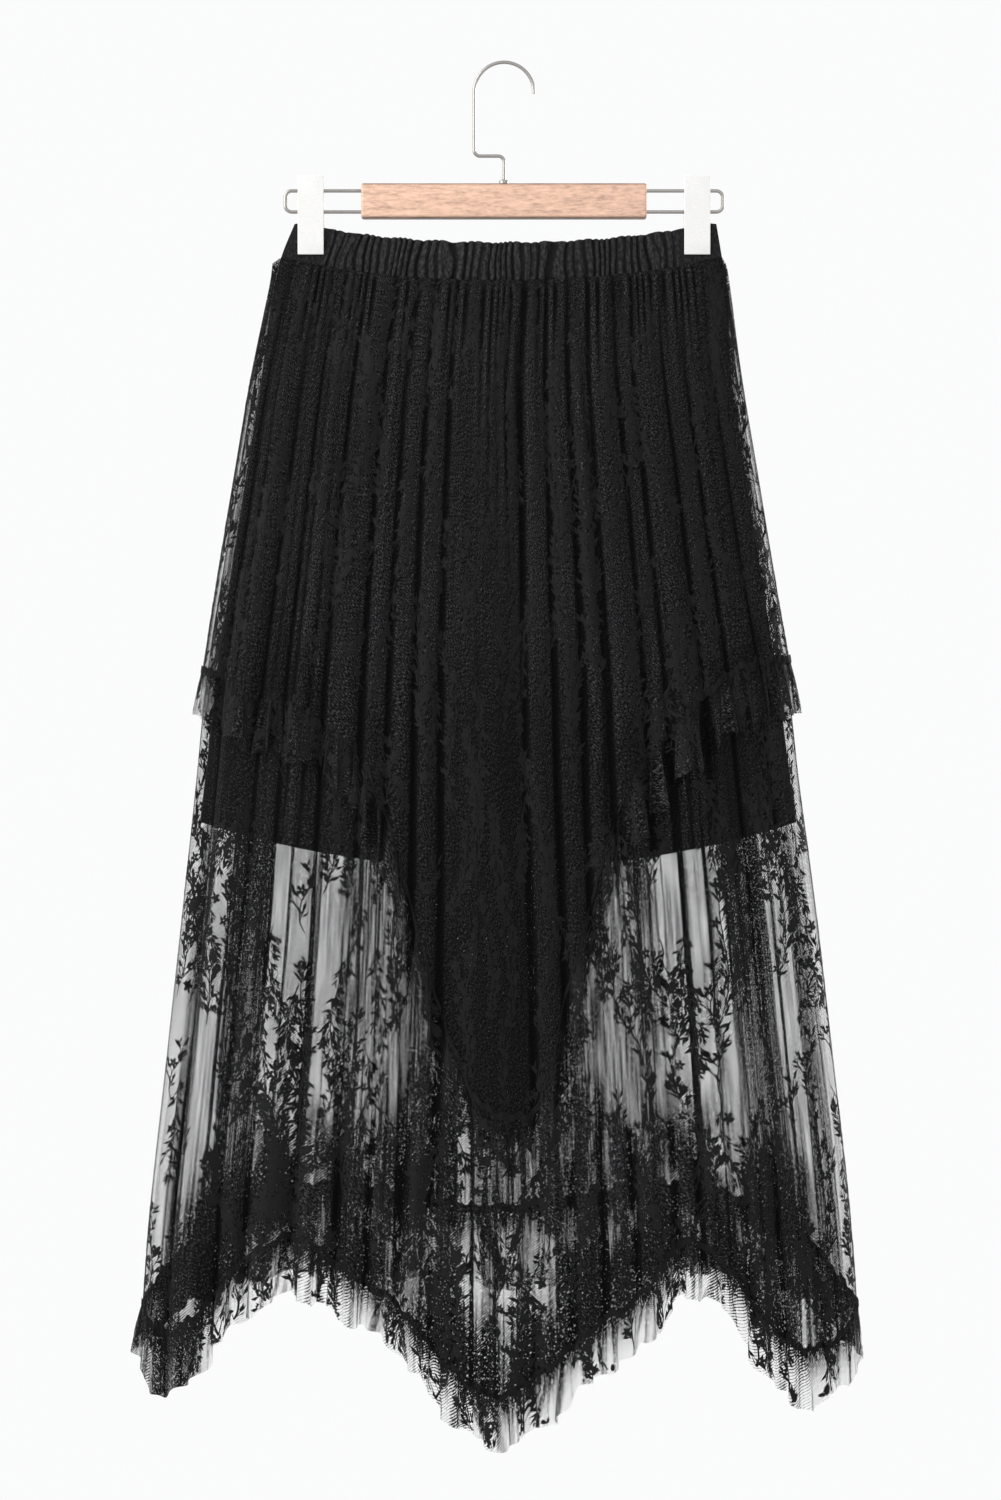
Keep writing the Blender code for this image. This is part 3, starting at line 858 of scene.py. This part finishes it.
def net_material(colour):
    """Fine net, its threads closer where the cloth is bunched and in narrow streaks. Its colour has
    painted shade in the fold valleys and where threads lie close, and a painted highlight on the crests.
    """
    net = Shader("lace_net")
    cut = net.split(net.uv())
    streaks = net.noise(net.stretched(net.uv(), (330.0, 3.0, 1.0)), 1.0, 3.0, 0.6)
    streaks = net.spread(streaks, 0.50, 0.74, 0.0, 1.7)
    bunched = net.attribute("bunched")
    bunched = net.maths("ADD", bunched, net.maths("MULTIPLY", streaks, bunched))
    specks = net.noise(net.stretched(net.uv(), (700.0, 380.0, 1.0)), 1.0, 2.0, 0.6)
    specks = net.spread(specks, 0.50, 0.67, 1.0, 0.28)
    width = net.maths("MULTIPLY", net.maths("MULTIPLY", bunched, 0.108), specks)
    rising = net.lines(net.maths("ADD", net.maths("MULTIPLY", cut[0], 1.35), cut[1]), 0.0016)
    falling = net.lines(net.maths("SUBTRACT", net.maths("MULTIPLY", cut[0], 1.15), cut[1]), 0.0024)
    nearest = net.maths("MINIMUM", rising, net.maths("MULTIPLY", falling, 0.85))
    net.feed("Alpha", net.maths("LESS_THAN", nearest, width))
    slope = net.maths("MULTIPLY", net.maths("ADD", cut[0], cut[1]), 700.0)
    counter_slope = net.maths("MULTIPLY", net.maths("SUBTRACT", cut[0], cut[1]), 270.0)
    grain = net.noise(net.add("CombineXYZ", slope, counter_slope).outputs[0], 1.0, 3.0, 0.65)
    # Painted shade in the valleys between gathers and a painted highlight on their crests
    tone = net.painted_fold_shading(net.ramp(grain, colour, ((0.41, 0.25), (0.52, 2.3), (0.655, 17.0))), 0.18, 1.6)
    # Painted shade: the colour is paler where the threads lie loose and darker where they are bunched
    # close
    net.feed("Base Color", net.scaled(tone, net.spread(net.attribute("bunched"), 2.4, 7.5, 1.2, 0.42)))
    net.matt(0.85, 0.06, 0.02)
    net.bump(net.maths("SUBTRACT", 1.0, nearest), 0.0002, 0.6)
    return net.material


def thread_material(name, colour, sheen):
    """Dark thread with a fine grain, for the lace's motif, its seams and the stitches."""
    thread = Shader(name)
    grain = thread.noise(thread.object_place(), 1400.0, 2.0)
    thread.feed("Base Color", thread.ramp(grain, colour, ((0.3, 0.4), (0.7, 1.7))))
    thread.matt(0.7, 0.12, sheen)
    thread.bump(grain, 0.0002, 0.5)
    return thread.material


def jersey_material(colour):
    """Fine knitted loops in ribs and rows."""
    jersey = Shader("lining_jersey")
    cut = jersey.split(jersey.uv())
    ribs = jersey.lines(cut[0], 0.0012)
    rows = jersey.lines(cut[1], 0.0009)
    loops = jersey.maths("MULTIPLY", ribs, rows)
    jersey.feed("Base Color", jersey.ramp(loops, colour, ((0.0, 0.6), (1.0, 1.3))))
    jersey.matt(0.8, 0.10, 0.04)
    jersey.bump(loops, 0.0002, 0.5)
    return jersey.material


def band_material(colour):
    """Lace drawn together over the elastic, with pale flecks between its threads, painted shade in the
    valleys between its gathers and a painted highlight on their ridges.
    """
    band = Shader("waistband_lace")
    cut = band.split(band.uv())
    rising = band.lines(band.maths("ADD", cut[0], cut[1]), 0.0018)
    falling = band.lines(band.maths("SUBTRACT", cut[0], cut[1]), 0.0018)
    mesh = band.maths("MINIMUM", rising, falling)
    fleck = band.noise(band.stretched(band.uv(), (420.0, 240.0, 1.0)), 1.0, 4.0, 0.7)
    tone = band.maths("ADD", band.maths("MULTIPLY", mesh, 0.25), fleck)
    # Painted shade in the valleys between gathers and a painted highlight on their ridges
    band.feed("Base Color", band.painted_fold_shading(band.ramp(tone, colour, ((0.46, 0.5), (0.84, 12.0))), 0.2, 1.3))
    band.matt(0.85, 0.12, 0.05)
    band.bump(tone, 0.0007, 0.8)
    return band.material


def wood_material(pale, dark, middle, half):
    """Pale mottled wood, darker along its top and bottom edges."""
    wood = Shader("bar_wood")
    place = wood.object_place()
    grain = wood.noise(wood.stretched(place, (45.0, 150.0, 230.0)), 1.0, 5.0, 0.7)
    pores = wood.noise(wood.stretched(place, (170.0, 600.0, 700.0)), 1.0, 2.0)
    tone = wood.maths("ADD", wood.maths("MULTIPLY", grain, 0.6), wood.maths("MULTIPLY", pores, 0.4))
    colour = wood.ramp(tone, pale, ((0.36, 0.66), (0.50, 1.0), (0.64, 1.22)))
    height = wood.maths("ABSOLUTE", wood.maths("SUBTRACT", wood.split(place)[2], middle))
    uneven = wood.maths("ADD", height, wood.maths("MULTIPLY", grain, 0.004))
    # The colour turns darker towards the top and bottom edges
    edge_darkening = wood.spread(uneven, half - 0.0004, half + 0.0020)
    mix = wood.add("Mix", Factor=edge_darkening)
    mix.data_type = "RGBA"
    wood.links.new(colour, mix.inputs[6])
    mix.inputs[7].default_value = (*dark, 1.0)
    wood.feed("Base Color", mix.outputs[2])
    wood.feed("Roughness", wood.spread(pores, 0.3, 0.7, 0.35, 0.5))
    wood.set("Specular IOR Level", 0.35)
    wood.bump(tone, 0.0002, 0.35)
    return wood.material


def smooth_material(name, colour, roughness, metallic):
    """Polished metal or satin plastic with faint scuffs."""
    smooth = Shader(name)
    scuff = smooth.noise(smooth.stretched(smooth.object_place(), (300.0, 300.0, 900.0)), 1.0, 3.0)
    smooth.feed("Roughness", smooth.spread(scuff, 0.3, 0.7, roughness * 0.8, roughness * 1.4))
    smooth.feed("Base Color", smooth.ramp(scuff, colour, ((0.25, 0.90), (0.75, 1.0))))
    smooth.set("Metallic", metallic)
    return smooth.material


def floor_material():
    """Matt grey that takes the shadows."""
    floor = Shader("studio_floor")
    floor.set("Base Color", FLOOR_COLOUR)
    floor.matt(1.0, 0.0, 0.0)
    return floor.material


def tier_cloths(side):
    """The layers of lace on one side, by the node that each replaces, without its side."""
    settings = bpy.context.scene.lace_skirt
    lower_head, lower_edge = hem_lines(LOWER_HEMS[side])
    upper_head, upper_edge = hem_lines(UPPER_HEM)
    width, depth = settings.cut_width, settings.ruffle_depth
    lower_folds = tier_lift(LOWER_OUTSET, 0.0, side)
    upper_folds = tier_lift(UPPER_OUTSET, UPPER_LIFT, side)
    lower_waves = ruffle_lift(LOWER_OUTSET, 0.0, depth, 0.3 * side, 0.0030)
    upper_waves = ruffle_lift(UPPER_OUTSET, UPPER_LIFT, depth, 1.1 * side, 0.0048)
    lower_pleats = ruffle_bunch(LOWER_PLEATS[side], 0.7 * side, lower_head, LOWER_PACKED_END)
    upper_pleats = ruffle_bunch(UPPER_PLEATS, 2.1 * side, upper_head, 0.0)
    lower_net = bunch_of(side, plain_net(lower_head, 0.0, LOWER_CENTRE_BORDER[side]), LOWER_STRENGTH)
    upper_net = bunch_of(-side, plain_net(upper_head, UPPER_MIDDLE, BORDER), UPPER_STRENGTH)
    lower_width, upper_width = width * LOWER_FULLNESS, width * UPPER_FULLNESS
    return {
        "lower_tier": Cloth(side, band_bottom, lower_head, lower_folds, lower_net, width),
        "upper_tier": Cloth(side, band_bottom, upper_head, upper_folds, upper_net, width),
        "lower_ruffle": Cloth(side, lower_head, lower_edge, lower_waves, lower_pleats, lower_width),
        "upper_ruffle": Cloth(side, upper_head, upper_edge, upper_waves, upper_pleats, upper_width),
    }


def cut_area(cloth):
    """The flat area of a layer, from its cut width and its height across that width."""
    share = np.linspace(0, 1, 201)
    height = cloth.height(np.sin(angle_at(share)))
    flat = cloth.flat_across(share)
    return float(np.sum((height[1:] + height[:-1]) / 2 * np.diff(flat)))


def longest(cloth):
    """The greatest height of a layer, as its flat piece has to be cut."""
    return float(np.max(cloth.height(np.linspace(-1, 1, 201))))


class SkirtSettings(bpy.types.PropertyGroup):
    lace_colour: bpy.props.FloatVectorProperty(
        name="Lace colour",
        description="Colour of the lace's thread",
        subtype="COLOR",
        size=3,
        default=(0.0034, 0.0033, 0.0035),
    )
    wood_colour: bpy.props.FloatVectorProperty(
        name="Wood colour",
        description="Colour of the hanger's bar",
        subtype="COLOR",
        size=3,
        default=(0.60, 0.385, 0.285),
    )
    cut_width: bpy.props.FloatProperty(
        name="Cut width",
        description="Flat width of a tier's front or back",
        default=0.66,
        unit="LENGTH",
    )
    ruffle_depth: bpy.props.FloatProperty(
        name="Ruffle depth",
        description="How far a ruffle's waves stand out at its edge",
        default=0.009,
        unit="LENGTH",
    )
    spray_length: bpy.props.FloatProperty(
        name="Spray length",
        description="Length of a lace twig",
        default=0.095,
        unit="LENGTH",
    )


class SKIRT_OT_lining(bpy.types.Operator):
    """Make the opaque lining with its stitched hem"""

    bl_idname = "lace_skirt.lining"
    bl_label = "Lining"

    def execute(self, context):
        settings = context.scene.lace_skirt
        jersey = jersey_material(settings.lace_colour)
        thread = thread_material("hem_thread", [c * 6.0 for c in settings.lace_colour], 0.1)
        for end, side in SIDES:
            cloth = Cloth(side, band_bottom, lining_hem, lining_lift, even, LINING_WIDTH, lined=True)
            obj = cloth_grid(f"lining_{end}_cloth", cloth, "lining")
            thickened(obj, "cloth_thickness", LINING_THICKNESS, 0.0)
            finish_piece(obj, jersey, [f"lining_{end}"])
            stitches = self.stitch_hem(cloth, end, thread)
            longest(cloth)
            cut_area(cloth)
        return {"FINISHED"}

    def stitch_hem(self, cloth, end, thread):
        """Two rows of short stitches above the hem."""
        shape = bmesh.new()
        for above in STITCH_ROWS:
            for place in np.arange(STITCH_MARGIN, cloth.flat_width - STITCH_MARGIN, STITCH_PITCH):
                angle = angle_at(cloth.share_at(place))
                down = 1 - above / cloth.height(np.sin(angle))
                spot = Matrix.Translation(cloth.points(angle, down, STITCH_PROUD))
                bmesh.ops.create_cube(shape, size=1.0, matrix=spot @ Matrix.Diagonal(STITCH_SIZE))
        return finish_piece(mesh_object(f"lining_{end}_stitches", shape), thread)


class SKIRT_OT_tiers(bpy.types.Operator):
    """Make the two lace tiers and their ruffles"""

    bl_idname = "lace_skirt.tiers"
    bl_label = "Tiers and ruffles"

    def execute(self, context):
        settings = context.scene.lace_skirt
        net = net_material(settings.lace_colour)
        thread = thread_material("lace_thread", [c * 1.7 for c in settings.lace_colour], 0.04)
        dark_thread = thread_material("seam_thread", settings.lace_colour, 0.02)
        length = settings.spray_length
        sprays = [spray_shape(seed, length * size, flowers) for seed, size, flowers in SPRAYS]
        for end, side in SIDES:
            for number, (kind, cloth) in enumerate(tier_cloths(side).items()):
                form = kind.split("_")[1]
                node = f"{kind}_{end}"
                obj = cloth_grid(f"{node}_net", cloth, form)
                finish_piece(obj, net, [node])
                seed = 40 + number + 10 * side
                sewn = [add_motif(f"{node}_motif", cloth, sprays, *MOTIF_SPACING[form], seed, thread)]
                if form == "ruffle":
                    sewn.append(self.seam(f"{node}_seam", cloth, dark_thread))
                longest(cloth)
                cut_area(cloth)
        return {"FINISHED"}

    def seam(self, name, cloth, thread):
        """The overlocked seam that joins a ruffle to its tier."""

        def lift(across, z, down, angle):
            out, sway, dip = cloth.lift(across, z, 0 * down, angle)
            bead = 0.0010 + 0.0006 * np.sin(190 * angle) + 0.0005 * np.sin(83 * angle)
            ragged = 0.0010 * np.sin(61 * angle) + 0.0008 * np.sin(143 * angle + 3 * z)
            return out + bead, sway, dip + ragged

        strip = Cloth(
            cloth.side,
            lambda across: cloth.top(across) + SEAM_ABOVE,
            lambda across: cloth.top(across) - SEAM_BELOW,
            lift,
            even,
            cloth.flat_width,
        )
        return finish_piece(cloth_grid(name, strip, "seam"), thread)


class SKIRT_OT_waistband(bpy.types.Operator):
    """Make the gathered elastic waistband"""

    bl_idname = "lace_skirt.waistband"
    bl_label = "Waistband"

    def execute(self, context):
        settings = context.scene.lace_skirt
        band = band_material(settings.lace_colour)
        for end, side in SIDES:
            cloth = Cloth(side, band_top, band_bottom, self.lift, even, BAND_WIDTH, lined=True)
            obj = cloth_grid(f"waistband_{end}_casing", cloth, "band")
            thickened(obj, "elastic_thickness", ELASTIC_THICKNESS, -1.0)
            finish_piece(obj, band, [f"waistband_{end}"])
        return {"FINISHED"}

    @staticmethod
    def lift(across, z, down, angle):
        """Uneven upright gathers, flat under the clips."""
        from_clip = np.abs(np.abs(across) - CLIP_ACROSS)
        free = np.where(from_clip < 0.075, 0.0, 1.0) * off_sides(across, 0.04)
        free = free * eased((from_clip - 0.07) / 0.05)
        phase = 26 * across + 0.8 * np.sin(13 * across) + 0.25 * np.sin(41 * across)
        phase = phase + 0.12 * np.sin(4 * down + 20 * across)
        groove = (1 - np.abs(np.sin(np.pi * phase))) ** 1.3
        depth = 0.62 + 0.38 * np.sin(29 * across + 1.0)
        fine = (1 - np.abs(np.sin(np.pi * (2.7 * phase + 0.3)))) ** 2
        crown = 0.0010 * np.sin(np.pi * down)
        out = BAND_WALL - 0.0002 + free * (crown - 0.0032 * groove * depth - 0.0008 * fine)
        corner = np.maximum(np.abs(across) - 0.955, 0.0) / 0.045
        dip = (1 - down) * (free * (0.0008 * groove - 0.0006 * np.sin(37 * across)) + 0.0018 * corner**2)
        dip = dip - down * free * (0.0014 * groove * depth - 0.0006)
        return out, np.zeros_like(out), dip


class SKIRT_OT_hanger(bpy.types.Operator):
    """Make the wooden bar, the wires and the two clips"""

    bl_idname = "lace_skirt.hanger"
    bl_label = "Hanger"

    def execute(self, context):
        settings = context.scene.lace_skirt
        pale = list(settings.wood_colour)
        low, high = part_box("hanger_bar")
        wood = wood_material(pale, [c * 0.25 for c in pale], (low.z + high.z) / 2, (high.z - low.z) / 2)
        chrome = smooth_material("polished_wire", WIRE_COLOUR, 0.28, 1.0)
        satin = smooth_material("satin_clip", CLIP_COLOUR, 0.32, 0.0)
        self.bar(wood)
        self.wires(chrome)
        self.ferrule(chrome)
        for end in ("left", "right"):
            self.clip(end, satin)
        return {"FINISHED"}

    def bar(self, wood):
        low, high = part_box("hanger_bar")
        shape = bmesh.new()
        bmesh.ops.create_cube(shape, size=1.0)
        bmesh.ops.scale(shape, vec=high - low, verts=shape.verts)
        bmesh.ops.translate(shape, vec=(low + high) / 2, verts=shape.verts)
        bmesh.ops.bevel(
            shape,
            geom=shape.edges[:],
            offset=BAR_ROUNDING,
            segments=5,
            profile=0.5,
            affect="EDGES",
            material=-1,
        )
        finish_piece(smoothed(mesh_object("bar_wood", shape), 30), wood, ["hanger_bar"])

    def tube(self, name, points, chrome, node):
        """A smooth round wire along points, closed at both ends."""
        curve = bpy.data.curves.new(name, "CURVE")
        curve.dimensions = "3D"
        curve.bevel_depth = WIRE_RADIUS
        curve.bevel_resolution = 6
        curve.use_fill_caps = True
        spline = curve.splines.new("POLY")
        spline.points.add(len(points) - 1)
        for place, point in zip(spline.points, points, strict=True):
            place.co = (*point, 1.0)
        guide = linked(name + "_guide", curve)
        bpy.context.view_layer.update()
        made = guide.evaluated_get(bpy.context.evaluated_depsgraph_get())
        mesh = bpy.data.meshes.new_from_object(made)
        bpy.data.objects.remove(guide)
        finish_piece(smoothed(linked(name, mesh), 50), chrome, [node])

    @staticmethod
    def arc(x, z, radius, start, end, count):
        """Points on an arc about x, z, from one angle in degrees to another."""
        turns = [math.radians(start + (end - start) * i / count) for i in range(count + 1)]
        return [(x + radius * math.cos(turn), 0.0, z + radius * math.sin(turn)) for turn in turns]

    def wires(self, chrome):
        """The hook, and a rail with two rounded corners at each end of the bar."""
        low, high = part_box("hanger_bar")
        middle = (low.z + high.z) / 2
        start = high.x - WIRE_INSERT
        points = self.arc(0.0, WIRE_RADIUS - HOOK_RADIUS, HOOK_RADIUS, -3, 180, 60)
        points += self.arc(HOOK_BEND - HOOK_RADIUS, HOOK_STEP_Z + HOOK_BEND, HOOK_BEND, 180, 270, 14)
        points += self.arc(-HOOK_BEND, HOOK_STEP_Z - HOOK_BEND, HOOK_BEND, 90, 0, 14)
        points.append((0.0, 0.0, high.z - WIRE_INSERT))
        self.tube("hook_wire", points, chrome, "hanger_hook")
        radius = RAIL_SPACING / 2
        bend_x = RAIL_END_X - RAIL_BEND
        rail = [(start, 0.0, middle + radius)]
        rail += self.arc(bend_x, middle + radius - RAIL_BEND, RAIL_BEND, 90, 0, 14)
        rail += self.arc(bend_x, middle - radius + RAIL_BEND, RAIL_BEND, 0, -90, 14)
        rail.append((start, 0.0, middle - radius))
        for end, side in (("left", -1), ("right", 1)):
            self.tube(f"rail_{end}_wire", [(side * x, y, z) for x, y, z in rail], chrome, f"rail_{end}")

    def ferrule(self, chrome):
        low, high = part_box("hanger_ferrule")
        radius = (high.x - low.x) / 2
        profile = (
            (FERRULE_BORE, low.z),
            (radius, low.z),
            (radius, high.z - FERRULE_CHAMFER),
            (radius * 0.7, high.z),
            (FERRULE_BORE, high.z),
        )
        shape = bmesh.new()
        corners = [shape.verts.new((x, 0.0, z)) for x, z in profile]
        edges = [shape.edges.new((corners[i - 1], corners[i])) for i in range(len(corners))]
        bmesh.ops.spin(
            shape,
            geom=corners + edges,
            cent=(0, 0, 0),
            axis=(0, 0, 1),
            angle=FULL_TURN,
            steps=40,
            use_merge=True,
        )
        bmesh.ops.remove_doubles(shape, verts=shape.verts, dist=MERGE_DISTANCE)
        bmesh.ops.recalc_face_normals(shape, faces=shape.faces)
        finish_piece(smoothed(mesh_object("ferrule_collar", shape), 35), chrome, ["hanger_ferrule"])

    def clip(self, end, satin):
        """Front and back plates with rounded edges, and the web between the rail's wires."""
        node = f"clip_{end}"
        shape = bmesh.new()
        shape.from_mesh(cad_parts[node].data)
        bmesh.ops.remove_doubles(shape, verts=shape.verts, dist=MERGE_DISTANCE)
        bmesh.ops.dissolve_limit(shape, angle_limit=math.radians(1), verts=shape.verts, edges=shape.edges)
        obj = smoothed(mesh_object(f"{node}_plates", shape), 35)
        rounding = obj.modifiers.new("rounded_edges", "BEVEL")
        rounding.width = CLIP_ROUNDING
        rounding.segments = 3
        finish_piece(obj, satin, [node])


class SKIRT_OT_studio(bpy.types.Operator):
    """Make the floor, the lights and the camera"""

    bl_idname = "lace_skirt.studio"
    bl_label = "Studio"

    def execute(self, context):
        scene = context.scene
        scene.view_settings.view_transform = "Standard"
        scene.cycles.transparent_max_bounces = 24
        self.floor()
        for light in LIGHTS:
            self.light(*light)
        world = bpy.data.worlds.new("studio_world")
        world.use_nodes = True
        world.node_tree.nodes["Background"].inputs["Color"].default_value = WORLD_COLOUR
        scene.world = world
        self.camera(scene)
        return {"FINISHED"}

    def floor(self):
        shape = bmesh.new()
        place = Matrix.Translation(FLOOR_PLACE)
        bmesh.ops.create_circle(shape, cap_ends=True, segments=96, radius=FLOOR_RADIUS, matrix=place)
        obj = mesh_object("studio_floor", shape)
        obj.data.materials.append(floor_material())

    def light(self, name, place, size, power):
        lamp = bpy.data.lights.new(name, "AREA")
        lamp.size = size
        lamp.energy = power
        obj = linked(name, lamp)
        obj.location = place
        aim = Vector(LIT_PLACE) - Vector(place)
        obj.rotation_euler = aim.to_track_quat("-Z", "Y").to_euler()

    def camera(self, scene):
        """Square on to the front, framed as 1001 by 1500."""
        lens = bpy.data.cameras.new("photo_view")
        lens.sensor_fit = "VERTICAL"
        lens.sensor_height = SENSOR_HEIGHT
        lens.lens = SENSOR_HEIGHT * -CAMERA_PLACE[1] / FRAME_HEIGHT
        lens.clip_end = 60.0
        camera = linked("photo_view", lens)
        camera.location = CAMERA_PLACE
        camera.rotation_euler = (QUARTER_TURN, 0.0, 0.0)
        scene.camera = camera


class SKIRT_PT_panel(bpy.types.Panel):
    bl_idname = "SKIRT_PT_panel"
    bl_label = "Lace skirt"
    bl_space_type = "VIEW_3D"
    bl_region_type = "UI"
    bl_category = "Lace skirt"

    def draw(self, context):
        for name in SkirtSettings.__annotations__:
            self.layout.prop(context.scene.lace_skirt, name)
        for operator in OPERATORS:
            self.layout.operator(operator.bl_idname)


OPERATORS = (SKIRT_OT_studio, SKIRT_OT_lining, SKIRT_OT_tiers, SKIRT_OT_waistband, SKIRT_OT_hanger)
CLASSES = (SkirtSettings, *OPERATORS, SKIRT_PT_panel)


def register():
    for made in CLASSES:
        bpy.utils.register_class(made)
    bpy.types.Scene.lace_skirt = bpy.props.PointerProperty(type=SkirtSettings)


def unregister():
    del bpy.types.Scene.lace_skirt
    for made in reversed(CLASSES):
        bpy.utils.unregister_class(made)


def main():
    register()
    bpy.ops.lace_skirt.studio()
    bpy.ops.lace_skirt.lining()
    bpy.ops.lace_skirt.tiers()
    bpy.ops.lace_skirt.waistband()
    bpy.ops.lace_skirt.hanger()


if __name__ == "__main__":
    main()
